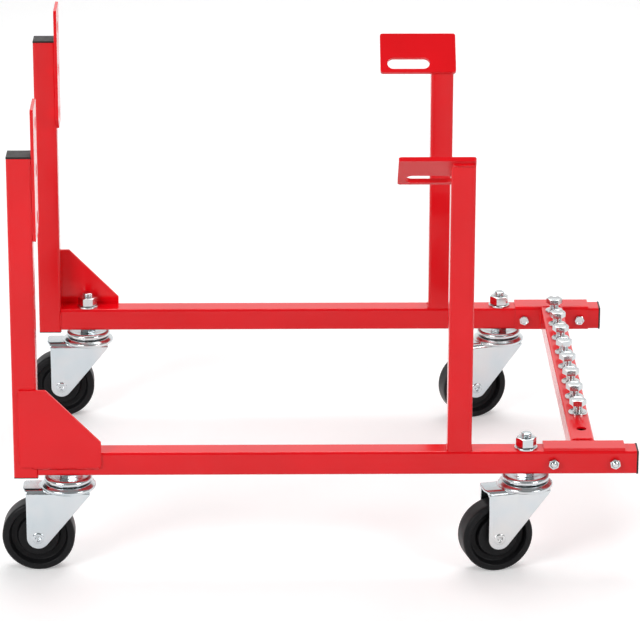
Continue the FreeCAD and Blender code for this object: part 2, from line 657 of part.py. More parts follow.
def ball_ring(name):
    """The loose balls between the race and the fork's crown."""
    body = new_body(f"{name}_caster_balls")
    half = new_sketch(body, "XZ_Plane")
    across = "Dims.ball_size / 2"
    centre = FreeCAD.Vector(value_of("Dims.ball_circle / 2"), value_of("Dims.ball_height"), 0)
    radius = value_of(across)
    ring = Part.Circle(centre, FreeCAD.Vector(0, 0, 1), radius)
    arc = half.addGeometry(Part.ArcOfCircle(ring, 0, math.pi), False)
    ends = [centre + FreeCAD.Vector(side * radius, 0, 0) for side in (-1, 1)]
    chord = half.addGeometry(Part.LineSegment(*ends), False)
    half.addConstraint(Sketcher.Constraint("Coincident", chord, 1, arc, 2))
    half.addConstraint(Sketcher.Constraint("Coincident", chord, 2, arc, 1))
    half.addConstraint(Sketcher.Constraint("Horizontal", chord))
    half.addConstraint(Sketcher.Constraint("PointOnObject", arc, 3, chord))
    pin(half, arc, 3, "Dims.ball_circle / 2", "Dims.ball_height")
    size = half.addConstraint(Sketcher.Constraint("Radius", arc, radius))
    half.setExpression(f"Constraints[{size}]", across)
    ball = body.newObject("PartDesign::Revolution", f"{body.Name}_ball")
    ball.Profile = half
    ball.ReferenceAxis = (half, [f"Edge{chord + 1}"])
    ball.Angle = 360.0
    doc.recompute()
    pattern = body.newObject("PartDesign::PolarPattern", f"{body.Name}_ring")
    pattern.Originals = [ball]
    pattern.Axis = (next(f for f in body.Origin.OriginFeatures if f.Role == "Z_Axis"), [""])
    pattern.Angle = 360.0
    pattern.Occurrences = BALL_COUNT
    body.Tip = pattern
    return body


def caster_fork(name):
    """The pressed fork: a bent channel with a rear tab, two legs and a round raised seat."""
    body = new_body(f"{name}_caster_fork")
    half = "(Dims.fork_width / 2)"
    crown_base = "(Dims.crown_top - Dims.fork_steel)"
    tip = "(Dims.axle_height - Dims.fork_lobe)"
    block = new_sketch(body, "XY_Plane", tip)
    rectangle(block, "-Dims.fork_tab", f"-{half}", "Dims.fork_front", half)
    pad(body, block, f"Dims.crown_top - {tip}")
    inner = f"({half} - Dims.fork_steel)"
    round_edges(body, "Dims.fork_bend", lambda edge: (
        runs_along(edge, (1, 0, 0)) and edge.CenterOfMass.z > value_of(crown_base)))
    doc.recompute()
    channel = new_sketch(body, "YZ_Plane")
    rectangle(channel, f"-{inner}", "0", inner, crown_base)
    pocket_through(body, channel)
    round_edges(body, "Dims.fork_bend - Dims.fork_steel", lambda edge: (
        runs_along(edge, (1, 0, 0)) and abs(edge.CenterOfMass.z - value_of(crown_base)) < 1e-3))
    side_view = new_sketch(body, "XZ_Plane")
    fork_outline(side_view)
    pocket_through(body, side_view)
    # The tab's corners are cut off as far forward as the back edges of the legs.
    back, tab = "(-Dims.trail - Dims.fork_lobe)", "-Dims.fork_tab"
    corners = new_sketch(body, "XY_Plane")
    for sign in SIDES.values():
        polygon(corners, [(back, f"{sign} * {half}"), (tab, f"{sign} * {half}"),
                          (tab, f"{sign} * ({half} - Dims.fork_tab_corner)")])
    pocket_through(body, corners)
    seat = new_sketch(body, "XZ_Plane")
    skirt = "Dims.crown_top + Dims.crown_skirt"
    polygon(seat, [("0", crown_base), ("Dims.crown_size / 2 - Dims.crown_skirt", crown_base),
                   ("Dims.crown_size / 2", "Dims.crown_top - Dims.crown_skirt / 2"),
                   ("Dims.crown_size / 2", skirt), ("Dims.crown_seat_size / 2", "Dims.crown_seat"),
                   ("0", "Dims.crown_seat")])
    turn(body, seat)
    round_edges(body, "Dims.crown_bead", lambda edge: (
        circle_edge(edge, "Dims.crown_size") and edge.CenterOfMass.z > value_of("Dims.crown_top")
        or circle_edge(edge, "Dims.crown_seat_size")))
    doc.recompute()
    bores = new_sketch(body, "XZ_Plane")
    circle(bores, "-Dims.trail", "Dims.axle_height", "Dims.axle_bore")
    pocket_through(body, bores)
    kingpin = new_sketch(body, "XY_Plane")
    circle(kingpin, "0", "0", "Dims.kingpin_bore")
    pocket_through(body, kingpin)
    ball_groove(body)
    return body


def fork_outline(sketch):
    """The fork seen from the side, inside a frame of what is cut away.

    It is straight at the back under the tab, slanted at the front and round at the axle.
    """
    radius = value_of("Dims.fork_lobe")
    centre = FreeCAD.Vector(-value_of("Dims.trail"), value_of("Dims.axle_height"), 0)
    back, tab = "(-Dims.trail - Dims.fork_lobe)", "-Dims.fork_tab - Dims.fork_steel"
    under, front = "(Dims.crown_top - Dims.fork_bend)", "Dims.fork_front"
    above = "Dims.crown_top + Dims.fork_steel"
    # The slanted edge leaves the channel's front and touches the lobe.
    reach = FreeCAD.Vector(value_of(front), value_of(under), 0) - centre
    touch_angle = math.atan2(reach.y, reach.x) - math.acos(radius / reach.Length)
    touch = centre + FreeCAD.Vector(math.cos(touch_angle), math.sin(touch_angle), 0) * radius
    ring = Part.Circle(centre, FreeCAD.Vector(0, 0, 1), radius)
    arc = sketch.addGeometry(Part.ArcOfCircle(ring, math.pi, 2 * math.pi + touch_angle), False)
    pinned = [(back, under), (tab, under), (tab, above), (front, above), (front, under)]
    points = [FreeCAD.Vector(value_of(x), value_of(y), 0) for x, y in pinned]
    chain = [FreeCAD.Vector(points[0].x, centre.y, 0)] + points + [touch]
    lines = [sketch.addGeometry(Part.LineSegment(a, b), False) for a, b in zip(chain, chain[1:])]
    sketch.addConstraint(Sketcher.Constraint("Tangent", arc, 1, lines[0], 1))
    for line, after in zip(lines, lines[1:]):
        sketch.addConstraint(Sketcher.Constraint("Coincident", line, 2, after, 1))
    sketch.addConstraint(Sketcher.Constraint("Tangent", lines[-1], 2, arc, 2))
    sketch.addConstraint(Sketcher.Constraint("Vertical", lines[0]))
    pin(sketch, arc, 3, "-Dims.trail", "Dims.axle_height")
    size = sketch.addConstraint(Sketcher.Constraint("Radius", arc, radius))
    sketch.setExpression(f"Constraints[{size}]", "Dims.fork_lobe")
    height = sketch.addConstraint(
        Sketcher.Constraint("DistanceY", -1, 1, lines[0], 2, points[0].y))
    sketch.setExpression(f"Constraints[{height}]", under)
    for line, (x, y) in zip(lines[2:], pinned[1:]):
        pin(sketch, line, 1, x, y)
    margin = "Dims.fork_bend"
    rectangle(sketch, f"{tab} - {margin}", f"-{margin}", f"{front} + {margin}",
              f"{above} + {margin}")


def axle_sketch(body):
    """A sketch whose vertical axis is the axle's own line."""
    sketch = new_sketch(body, "XY_Plane", "Dims.axle_height")
    sketch.setExpression("AttachmentOffset.Base.x", "-Dims.trail")
    return sketch


def caster_axle(name):
    """The axle pin, its ends riveted over the fork's legs."""
    body = new_body(f"{name}_caster_axle")
    outer = "Dims.fork_width / 2"
    profile = axle_sketch(body)
    head, shaft, end = "Dims.axle_head / 2", "Dims.axle_size / 2", f"{outer} + Dims.axle_head_thick"
    crown, rim = f"{head} - Dims.axle_head_thick", f"({outer} + Dims.axle_head_edge)"
    polygon(profile, [("0", f"-({end})"), (crown, f"-({end})"), (head, f"-{rim}"),
                      (head, f"-{outer}"), (shaft, f"-{outer}"), (shaft, outer), (head, outer),
                      (head, rim), (crown, end), ("0", end)])
    turn(body, profile)
    return body


def caster_bush(name):
    """The steel sleeve on the axle, which keeps the legs apart and carries the wheel."""
    body = new_body(f"{name}_caster_bush")
    half = "(Dims.fork_width / 2 - Dims.fork_steel - Dims.running_gap)"
    profile = axle_sketch(body)
    inner = "Dims.axle_size / 2 + Dims.bush_gap / 2"
    rectangle(profile, inner, f"-{half}", "Dims.bush_size / 2", half)
    turn(body, profile)
    return body


def caster_wheel(name):
    """The solid wheel: a flat tread with round shoulders, a grooved face and a hub."""
    body = new_body(f"{name}_caster_wheel")
    profile = axle_sketch(body)
    steps = [("Dims.wheel_bore / 2", "Dims.hub_width / 2"),
             ("Dims.hub_size / 2", "Dims.hub_width / 2"),
             ("Dims.hub_size / 2", "Dims.web_width / 2"),
             ("Dims.web_size / 2", "Dims.web_width / 2"),
             ("Dims.web_size / 2 + Dims.groove_draft", "Dims.groove_width / 2"),
             ("Dims.rim_size / 2 - Dims.groove_draft", "Dims.groove_width / 2"),
             ("Dims.rim_size / 2", "Dims.wheel_width / 2"),
             ("Dims.wheel_size / 2", "Dims.wheel_width / 2")]
    polygon(profile, steps + [(radius, f"-({level})") for radius, level in reversed(steps)])
    turn(body, profile)
    round_edges(body, "Dims.tread_round", lambda edge: circle_edge(edge, "Dims.wheel_size"))
    round_edges(body, "Dims.rim_round", lambda edge: circle_edge(edge, "Dims.rim_size"))
    return body


def caster(name):
    """One swivel stem caster, standing under its rail and turned about its stem."""
    sign, stem, heading = CASTERS[name]
    fixed = [caster_stem(name), caster_race(name)]
    turning = [ball_ring(name), caster_fork(name), caster_axle(name), caster_bush(name),
               caster_wheel(name)]
    x, y = f"{REAR_FACE} + Dims.{stem}", f"{sign} * {RAIL_MIDDLE}"
    for body in fixed:
        place(body, x, y)
    for body in turning:
        place(body, x, y, angle=heading)


for side_name in SIDES:
    rail(side_name)
    rear_upright(side_name)
    front_upright(side_name)
    gusset(side_name)
    rear_plate(side_name)
    mount_bracket(side_name)
    saddle(side_name)
crossbar()
tube_caps()
saddle_screws()
stored_bolts()
stem_fasteners()
for caster_name in CASTERS:
    caster(caster_name)
doc.recompute()

failed = [item.Name for item in doc.Objects if {"Invalid", "Error"} & set(item.State)]
if failed:
    raise RuntimeError(f"failed objects: {failed}")
for node in nodes:
    if node.Shape.isNull() or not node.Shape.isValid():
        raise RuntimeError(f"{node.Label} has no valid shape")

os.makedirs("parts", exist_ok=True)
for node in nodes:
    node.Shape.exportStep(f"parts/{node.Label}.step")
    solids = len(node.Shape.Solids)
    print(f"{node.Label}: {solids} solid(s), {node.Shape.Volume / 1000:.2f} cm3")
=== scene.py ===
import json
import math
import random

import bmesh
import bpy
from mathutils import Matrix, Vector, noise


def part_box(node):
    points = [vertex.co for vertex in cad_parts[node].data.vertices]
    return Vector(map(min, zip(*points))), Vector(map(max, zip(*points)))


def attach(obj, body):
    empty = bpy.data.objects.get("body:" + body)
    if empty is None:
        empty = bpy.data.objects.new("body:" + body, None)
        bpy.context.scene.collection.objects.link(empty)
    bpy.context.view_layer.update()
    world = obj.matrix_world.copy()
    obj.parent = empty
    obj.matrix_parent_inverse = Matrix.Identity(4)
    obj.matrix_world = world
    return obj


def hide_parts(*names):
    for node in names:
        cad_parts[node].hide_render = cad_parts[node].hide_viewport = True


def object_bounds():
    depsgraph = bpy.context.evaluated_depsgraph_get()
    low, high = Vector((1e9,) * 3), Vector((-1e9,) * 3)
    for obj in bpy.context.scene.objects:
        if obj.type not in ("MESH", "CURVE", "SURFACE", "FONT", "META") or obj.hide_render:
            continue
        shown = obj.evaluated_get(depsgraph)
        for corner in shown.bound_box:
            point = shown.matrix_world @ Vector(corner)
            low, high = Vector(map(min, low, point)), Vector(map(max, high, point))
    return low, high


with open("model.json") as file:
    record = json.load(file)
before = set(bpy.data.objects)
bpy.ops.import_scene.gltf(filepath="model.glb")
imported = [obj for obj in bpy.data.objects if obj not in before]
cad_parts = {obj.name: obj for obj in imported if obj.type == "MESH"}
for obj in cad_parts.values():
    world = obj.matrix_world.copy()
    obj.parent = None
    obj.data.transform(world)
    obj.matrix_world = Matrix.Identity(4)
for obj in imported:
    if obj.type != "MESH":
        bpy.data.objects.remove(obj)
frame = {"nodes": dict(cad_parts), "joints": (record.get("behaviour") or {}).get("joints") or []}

CAD_LOW, CAD_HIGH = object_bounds()
CENTRE = (CAD_LOW + CAD_HIGH) / 2
MM = 0.001
SIDES = {"right": -1, "left": 1}
CASTERS = ("rear_right", "rear_left", "front_right", "front_left")

# Camera: far away with a long lens, looking down at the stand's right side.
CAMERA_DISTANCE = 3.977
CAMERA_ELEVATION = 19.1
CAMERA_TURN = 0.906
CAMERA_ROLL = 0.136
CAMERA_LENS = 203.7
AIM_OFFSET = Vector((0.0038, 0.0, -0.0467))

# Brightness of the room in front of the stand, behind it and above it.
ROOM_FRONT = 0.22
ROOM_BACK = 1.05
ROOM_CEILING = 0.30

# Weld beads: the radius of an ordinary bead, and how far it stops short of a corner.
WELD_SIZE = 1.5 * MM
WELD_INSET = 3.0 * MM

# Fasteners: thread sizes and pitches, heads and washers that the boxes don't give.
SADDLE_SCREW_SIZE = 6.0 * MM
SADDLE_SCREW_PITCH = 1.0 * MM
SADDLE_SCREW_HEAD = 4.0 * MM
STORED_SIZE = 10.0 * MM
STORED_BORE = 10.6 * MM
STORED_PITCH = 1.5 * MM
STORED_FLATS = 16.0 * MM
STORED_HEAD = 6.4 * MM
STORED_COUNT = 8
STEM_SIZE = 12.0 * MM
STEM_BORE = 12.6 * MM
STEM_PITCH = 1.75 * MM
STEM_FLATS = 19.0 * MM
STEM_WASHER = 24.5 * MM
COLLAR_FLATS = 17.0 * MM
COLLAR_HEIGHT = 5.0 * MM

# Casters: the voxels that round the fork's edges, its outer face, the wheel's rim.
FORK_VOXEL = 0.55 * MM
FORK_OUTER = 17.0 * MM
WHEEL_WIDTH = 25.0 * MM


# ---------------------------------------------------------------- materials

class Shader:
    """A small wrapper that makes the node trees below short to write."""

    def __init__(self, name):
        self.material = bpy.data.materials.new(name)
        self.material.use_nodes = True
        self.tree = self.material.node_tree
        self.tree.nodes.clear()
        self.surface = self.node("ShaderNodeBsdfPrincipled")
        output = self.node("ShaderNodeOutputMaterial")
        self.link(self.surface.outputs[0], output.inputs["Surface"])
        self.place = self.node("ShaderNodeTexCoord").outputs["Object"]

    def node(self, kind, **values):
        made = self.tree.nodes.new(kind)
        for name, value in values.items():
            setattr(made, name, value)
        return made

    def link(self, source, target):
        self.tree.links.new(source, target)

    def set(self, **values):
        """Constant values, straight on the shader's own sockets."""
        for name, value in values.items():
            self.surface.inputs[name.replace("_", " ")].default_value = value

    def noise(self, scale, detail=3.0, roughness=0.5, stretch=None):
        """Noise over the object's own coordinates, scale in features per metre."""
        texture = self.node("ShaderNodeTexNoise")
        texture.inputs["Scale"].default_value = scale
        texture.inputs["Detail"].default_value = detail
        texture.inputs["Roughness"].default_value = roughness
        source = self.place
        if stretch:
            mapping = self.node("ShaderNodeMapping")
            mapping.inputs["Scale"].default_value = stretch
            self.link(source, mapping.inputs["Vector"])
            source = mapping.outputs[0]
        self.link(source, texture.inputs["Vector"])
        return texture.outputs["Fac"]

    def ramp(self, source, stops):
        """A colour ramp from (position, colour) stops."""
        made = self.node("ShaderNodeValToRGB")
        elements = made.color_ramp.elements
        while len(elements) < len(stops):
            elements.new(0.5)
        for element, (position, colour) in zip(elements, stops):
            element.position = position
            element.color = (*colour, 1.0)
        self.link(source, made.inputs["Fac"])
        return made.outputs["Color"]

    def spread(self, source, low, high, start=0.3, end=0.7):
        """Map part of a texture's range to a low and a high value."""
        made = self.node("ShaderNodeMapRange")
        for name, value in (("From Min", start), ("From Max", end), ("To Min", low), ("To Max", high)):
            made.inputs[name].default_value = value
        self.link(source, made.inputs["Value"])
        return made.outputs["Result"]

    def mix(self, factor, first, second):
        """Mix two colour outputs by a factor."""
        made = self.node("ShaderNodeMix", data_type="RGBA")
        self.link(factor, made.inputs["Factor"])
        self.link(first, made.inputs["A"])
        self.link(second, made.inputs["B"])
        return made.outputs["Result"]

    def bumps(self, *layers):
        """Stack bumps, each as (height output, strength, distance in metres)."""
        normal = None
        for height, strength, distance in layers:
            bump = self.node("ShaderNodeBump")
            bump.inputs["Strength"].default_value = strength
            bump.inputs["Distance"].default_value = distance
            self.link(height, bump.inputs["Height"])
            if normal is not None:
                self.link(normal, bump.inputs["Normal"])
            normal = bump.outputs["Normal"]
        self.link(normal, self.surface.inputs["Normal"])


def powder_coat():
    """Glossy red powder coat: orange peel, faint shade drift and a few dull rubs."""
    shader = Shader("red_powder_coat")
    drift = shader.noise(9, 2)
    red = shader.ramp(drift, [(0.3, (0.82, 0.0015, 0.006)), (0.7, (0.92, 0.0020, 0.009))])
    specks = shader.noise(2600, 1)
    dust = shader.ramp(specks, [(0.0, (0.86, 0.002, 0.008)), (0.74, (0.86, 0.002, 0.008)),
                                (0.80, (0.90, 0.03, 0.04))])
    shader.link(shader.mix(shader.spread(specks, 0.0, 0.35, 0.70, 0.85), red, dust),
                shader.surface.inputs["Base Color"])
    rubs = shader.noise(38, 6, 0.65)
    shader.link(shader.spread(rubs, 0.13, 0.22, 0.35, 0.75), shader.surface.inputs["Roughness"])
    shader.set(IOR=1.38, Coat_Weight=0.15, Coat_Roughness=0.04, Coat_IOR=1.5)
    shader.bumps((shader.noise(420, 2), 0.06, 0.0004), (shader.noise(1500, 2), 0.03, 0.00015))
    return shader.material


def zinc_plate(name="zinc_plate", tint=(0.65, 0.68, 0.70), rough=(0.15, 0.26)):
    """Bright zinc plate: cloudy passivation in faint blue and straw, fine rolling lines."""
    shader = Shader(name)
    cloud = shader.noise(26, 3, 0.5)
    warm = (tint[0] * 1.06, tint[1] * 1.03, tint[2] * 1.00)
    cool = (tint[0] * 0.90, tint[1] * 0.96, tint[2] * 0.98)
    colour = shader.ramp(cloud, [(0.32, cool), (0.52, tint), (0.70, warm)])
    shader.link(colour, shader.surface.inputs["Base Color"])
    smear = shader.noise(90, 4, 0.6, stretch=(1.0, 1.0, 0.35))
    shader.link(shader.spread(smear, rough[0], rough[1]), shader.surface.inputs["Roughness"])
    shader.set(Metallic=1.0, IOR=1.5)
    lines = shader.noise(900, 2, 0.5, stretch=(0.12, 1.0, 1.0))
    shader.bumps((shader.noise(120, 2), 0.03, 0.0004), (lines, 0.04, 0.0001))
    return shader.material


def bearing_steel():
    """Polished ball steel with the faintest brown oil film."""
    shader = Shader("bearing_steel")
    film = shader.noise(300, 3)
    shader.link(shader.ramp(film, [(0.3, (0.74, 0.73, 0.71)), (0.7, (0.84, 0.84, 0.85))]),
                shader.surface.inputs["Base Color"])
    shader.link(shader.spread(film, 0.06, 0.16), shader.surface.inputs["Roughness"])
    shader.set(Metallic=1.0)
    shader.bumps((film, 0.03, 0.0001))
    return shader.material


def wheel_plastic():
    """Hard black wheel plastic: satin skin, fine moulding grain and pale floor scuffs."""
    shader = Shader("wheel_plastic")
    scuff = shader.noise(240, 7, 0.72)
    black = shader.ramp(scuff, [(0.30, (0.006, 0.006, 0.007)), (0.62, (0.011, 0.011, 0.012)),
                                (0.84, (0.042, 0.040, 0.038))])
    shader.link(black, shader.surface.inputs["Base Color"])
    shader.link(shader.spread(shader.noise(90, 4), 0.34, 0.48), shader.surface.inputs["Roughness"])
    shader.set(IOR=1.45, Specular_IOR_Level=0.20)
    shader.bumps((shader.noise(1800, 2), 0.16, 0.00012), (scuff, 0.06, 0.0002))
    return shader.material


def cap_plastic():
    """Black polyethylene tube plug with a leathery mould grain."""
    shader = Shader("black_plastic")
    grain = shader.node("ShaderNodeTexVoronoi")
    grain.inputs["Scale"].default_value = 1400
    shader.link(shader.place, grain.inputs["Vector"])
    drift = shader.noise(160, 3)
    shader.link(shader.ramp(drift, [(0.3, (0.010, 0.010, 0.010)), (0.7, (0.022, 0.021, 0.020))]),
                shader.surface.inputs["Base Color"])
    shader.link(shader.spread(drift, 0.42, 0.6), shader.surface.inputs["Roughness"])
    shader.set(IOR=1.5, Specular_IOR_Level=0.3)
    shader.bumps((grain.outputs["Distance"], 0.22, 0.0002), (drift, 0.08, 0.0003))
    return shader.material


def floor_white():
    """Matt white studio paper, which gives back less light than it shows."""
    shader = Shader("studio_paper")
    fibre = shader.noise(45, 3)
    seen = shader.ramp(fibre, [(0.3, (0.94, 0.94, 0.94)), (0.7, (0.96, 0.96, 0.96))])
    given = shader.ramp(fibre, [(0.3, (0.50, 0.50, 0.50)), (0.7, (0.52, 0.52, 0.52))])
    scattered = shader.node("ShaderNodeLightPath").outputs["Is Diffuse Ray"]
    shader.link(shader.mix(scattered, seen, given), shader.surface.inputs["Base Color"])
    shader.link(shader.spread(scattered, 0.20, 0.0, 0.0, 1.0), shader.surface.inputs["Emission Strength"])
    shader.set(Roughness=0.9, Specular_IOR_Level=0.1, Emission_Color=(1.0, 1.0, 1.0, 1.0))
    return shader.material


RED = powder_coat()
ZINC = zinc_plate()
BOLT_ZINC = zinc_plate("fastener_zinc", (0.64, 0.66, 0.67), (0.10, 0.20))
BALL_STEEL = bearing_steel()
WHEEL_BLACK = wheel_plastic()
CAP_BLACK = cap_plastic()


# ---------------------------------------------------------------- mesh tools

class Builder:
    """Collects vertices and faces, and turns them into one riding piece."""

    def __init__(self):
        self.vertices = []
        self.faces = []

    def add(self, vertices, faces, matrix=None):
        start = len(self.vertices)
        matrix = matrix or Matrix.Identity(4)
        self.vertices += [matrix @ Vector(vertex) for vertex in vertices]
        self.faces += [tuple(start + index for index in face) for face in faces]

    def piece(self, name, body, material, replaces=(), sharp=32.0, slot=None):
        mesh = bpy.data.meshes.new(name)
        mesh.from_pydata(self.vertices, [], self.faces)
        mesh.validate()
        tidy_normals(mesh)
        mesh.shade_smooth()
        mesh.set_sharp_from_angle(angle=math.radians(sharp))
        mesh.materials.append(material)
        made = bpy.data.objects.new(name, mesh)
        bpy.context.scene.collection.objects.link(made)
        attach(made, body)
        if replaces:
            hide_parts(*replaces)
        return made


def tidy_normals(mesh):
    """Make every face point outwards."""
    work = bmesh.new()
    work.from_mesh(mesh)
    bmesh.ops.recalc_face_normals(work, faces=work.faces)
    work.to_mesh(mesh)
    work.free()


def turned(rings, segments=48, loop=False):
    """Vertices and faces of a turned shape.

    Each ring is (radius, height), or a function of the angle that gives them. A loop joins
    the last ring to the first, as in a washer; otherwise both ends are closed with a fan.
    """
    vertices = []
    for ring in rings:
        for step in range(segments):
            angle = 2 * math.pi * step / segments
            radius, height = ring(angle) if callable(ring) else ring
            vertices.append((radius * math.cos(angle), radius * math.sin(angle), height))
    faces = []
    pairs = list(zip(range(len(rings)), range(1, len(rings))))
    if loop:
        pairs.append((len(rings) - 1, 0))
    for low, high in pairs:
        for step in range(segments):
            after = (step + 1) % segments
            faces.append((low * segments + step, low * segments + after,
                          high * segments + after, high * segments + step))
    if not loop:
        faces.append(tuple(reversed(range(segments))))
        faces.append(tuple(range((len(rings) - 1) * segments, len(rings) * segments)))
    return vertices, faces


def arc(centre_radius, centre_height, radius, start, end, steps=6):
    """Ring positions along an arc in the (radius, height) plane, angles in degrees."""
    points = []
    for step in range(steps + 1):
        angle = math.radians(start + (end - start) * step / steps)
        points.append((centre_radius + radius * math.cos(angle),
                       centre_height + radius * math.sin(angle)))
    return points


def hex_radius(flats, angle):
    """Distance from the centre to a hexagon's side at an angle."""
    turn = (angle + math.pi / 6) % (math.pi / 3) - math.pi / 6
    return flats / 2 / math.cos(turn)


def hex_rings(flats, low, high, chamfer_low=False):
    """Rings up the outside of a hexagon whose corners are turned off at 30 degrees."""
    crown = flats / 2 * 0.97
    fall = math.tan(math.radians(30))

    def top(angle):
        radius = hex_radius(flats, angle)
        return radius, high - (radius - crown) * fall

    def bottom(angle):
        radius = hex_radius(flats, angle)
        return radius, low + (radius - crown) * fall

    rings = [(crown, low), bottom] if chamfer_low else [lambda angle: (hex_radius(flats, angle), low)]
    return rings + [top, (crown, high)]


def thread_rings(radius, pitch, low, high, rows_per_turn=6):
    """Rings up a screw thread, tapering off over the last turn at each end."""
    depth = 0.6 * pitch
    rows = int((high - low) / pitch * rows_per_turn)
    rings = []
    for row in range(rows + 1):
        height = low + (high - low) * row / rows
        edge = min(1.0, (height - low) / pitch + 0.25, (high - height) / pitch + 0.25)

        def ring(angle, height=height, edge=edge):
            phase = (height / pitch - angle / (2 * math.pi)) % 1.0
            groove = max(0.0, min(1.0, 1.35 - abs(phase - 0.5) * 3.4))
            return radius - depth * groove - (1 - edge) * depth * 0.5, height

        rings.append(ring)
    return rings


def pose(place, axis=(0, 0, 1), spin=0.0):
    """A matrix that stands a turned shape at a place, its height along an axis."""
    toward = Vector(axis).normalized().to_track_quat("Z", "Y").to_matrix().to_4x4()
    return Matrix.Translation(Vector(place)) @ toward @ Matrix.Rotation(spin, 4, "Z")


def middle(node):
    """The centre of a CAD node's box."""
    low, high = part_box(node)
    return (low + high) / 2


def finish_cad(node, material, bevel=0.4, segments=2):
    """Give a CAD node its material and soften its sharp edges a little."""
    made = frame["nodes"][node]
    made.data.materials.clear()
    made.data.materials.append(material)
    made.data.shade_smooth()
    weld = made.modifiers.new("weld", "WELD")
    weld.merge_threshold = 0.00001
    if bevel:
        flatten = made.modifiers.new("flatten", "DECIMATE")
        flatten.decimate_type = "DISSOLVE"
        flatten.angle_limit = math.radians(0.5)
        soften = made.modifiers.new("soften", "BEVEL")
        soften.width = bevel * MM
        soften.segments = segments
        soften.limit_method = "ANGLE"
        soften.angle_limit = math.radians(40)
        soften.harden_normals = True
    level = made.modifiers.new("level", "WEIGHTED_NORMAL")
    level.weight = 90
    level.keep_sharp = True
    return made


# ---------------------------------------------------------------- red frame

def red_frame():
    """The welded steel: the CAD shapes with softened edges and the powder coat."""
    for side in SIDES:
        for name in ("rail", "rear_upright", "front_upright"):
            finish_cad(f"{side}_{name}", RED, 0.25)
        for name in ("gusset", "rear_plate", "mount_bracket", "saddle"):
            finish_cad(f"{side}_{name}", RED, 0.5, 3)
    finish_cad("crossbar", RED, 0.25)
    for name in ("upright_top_caps", "upright_bottom_caps", "rail_end_caps"):
        finish_cad(name, CAP_BLACK, 0.3)


def bead(builder, start, end, size, seed, ripple=1.7 * MM, relief=0.26):
    """A weld bead between two points: a low ridge of overlapping ripples."""
    start, end = Vector(start), Vector(end)
    along = (end - start).normalized()
    length = (end - start).length
    side = along.orthogonal().normalized()
    up = along.cross(side)
    around = 10
    steps = max(8, int(length / (0.42 * MM)))
    vertices = []
    for step in range(steps + 1):
        travel = length * step / steps
        wander = noise.noise(Vector((travel * 90, seed * 7.3, 0.0)))
        drift = noise.noise(Vector((travel * 60, seed * 3.1, 9.0)))
        phase = (travel / ripple + 0.25 * wander) % 1.0
        swell = 1.0 - relief * phase + 0.16 * wander
        ends = min(1.0, (travel + 0.4 * MM) / (1.6 * MM), (length - travel + 0.4 * MM) / (1.6 * MM))
        radius = size * swell * math.sqrt(ends)
        centre = start + along * travel + (side + up) * (0.10 * size * drift)
        for turn in range(around):
            angle = 2 * math.pi * turn / around
            spoke = side * math.cos(angle) + up * math.sin(angle)
            vertices.append(centre + spoke * radius + along * (0.25 * ripple * math.cos(angle * 2)))
    faces = []
    for step in range(steps):
        for turn in range(around):
            after = (turn + 1) % around
            faces.append((step * around + turn, step * around + after,
                          (step + 1) * around + after, (step + 1) * around + turn))
    faces.append(tuple(reversed(range(around))))
    faces.append(tuple(range(steps * around, (steps + 1) * around)))
    builder.add(vertices, faces)


def weld_beads():
    """The coated weld beads, all in one piece on each side."""
    for side, sign in SIDES.items():
        welds = Builder()
        seed = 10 * sign
        gusset_welds(welds, side, sign, seed)
        rail_welds(welds, side, sign, seed)
        plate_welds(welds, side, sign, seed)
        bracket_welds(welds, side, sign, seed + 12)
        saddle_welds(welds, sign, seed + 16)
        welds.piece(f"{side}_weld_beads", "frame", RED, slot="red_powder_coat", sharp=60)


def outer_inner(node, sign):
    """The Y of a node's outer face and of its inner face."""
    low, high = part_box(node)
    return (low.y, high.y) if sign < 0 else (high.y, low.y)


def gusset_welds(welds, side, sign, seed):
    """Beads along a gusset's bottom, top and back edges; the bottom one is wide and smooth."""
    low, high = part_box(f"{side}_gusset")
    upright_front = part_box(f"{side}_rear_upright")[1].x
    outer = outer_inner(f"{side}_rail", sign)[0]
    bead(welds, (low.x + 4 * WELD_INSET, outer, low.z), (high.x - WELD_INSET, outer, low.z),
         WELD_SIZE * 2.1, seed + 1, ripple=9 * MM, relief=0.15)
    bead(welds, (low.x + WELD_INSET, outer, high.z), (upright_front - WELD_INSET, outer, high.z),
         WELD_SIZE, seed + 20)
    bead(welds, (low.x, outer, low.z + WELD_INSET), (low.x, outer, high.z - WELD_INSET),
         WELD_SIZE, seed + 2)


def rail_welds(welds, side, sign, seed):
    """Beads from a rail to its rear upright, and across the foot of its front upright."""
    low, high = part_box(f"{side}_rail")
    inner = outer_inner(f"{side}_rail", sign)[1]
    bead(welds, (low.x, inner, low.z + WELD_INSET), (low.x, inner, high.z - WELD_INSET),
         WELD_SIZE * 0.8, seed + 3)
    bead(welds, (low.x, low.y + WELD_INSET, high.z), (low.x, high.y - WELD_INSET, high.z),
         WELD_SIZE, seed + 4)
    front_low, front_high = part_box(f"{side}_front_upright")
    for number, x in enumerate((front_low.x, front_high.x)):
        bead(welds, (x, front_low.y + WELD_INSET, high.z), (x, front_high.y - WELD_INSET, high.z),
             WELD_SIZE, seed + 5 + number)


def plate_welds(welds, side, sign, seed):
    """Short beads where both edges of a rear plate cross the upright, low down and high up."""
    plate_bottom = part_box(f"{side}_rear_plate")[0].z
    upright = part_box(f"{side}_rear_upright")[1]
    plate_outer = outer_inner(f"{side}_rear_plate", sign)[0]
    rail_inner = outer_inner(f"{side}_rail", sign)[1]
    stretches = ((plate_bottom + 8 * MM, plate_bottom + 32 * MM),
                 (upright.z - 34 * MM, upright.z - 6 * MM))
    for number, y in enumerate((plate_outer, rail_inner)):
        for rank, (start, end) in enumerate(stretches):
            bead(welds, (upright.x, y, start), (upright.x, y, end),
                 WELD_SIZE * 0.8, seed + 7 + 2 * rank + number)


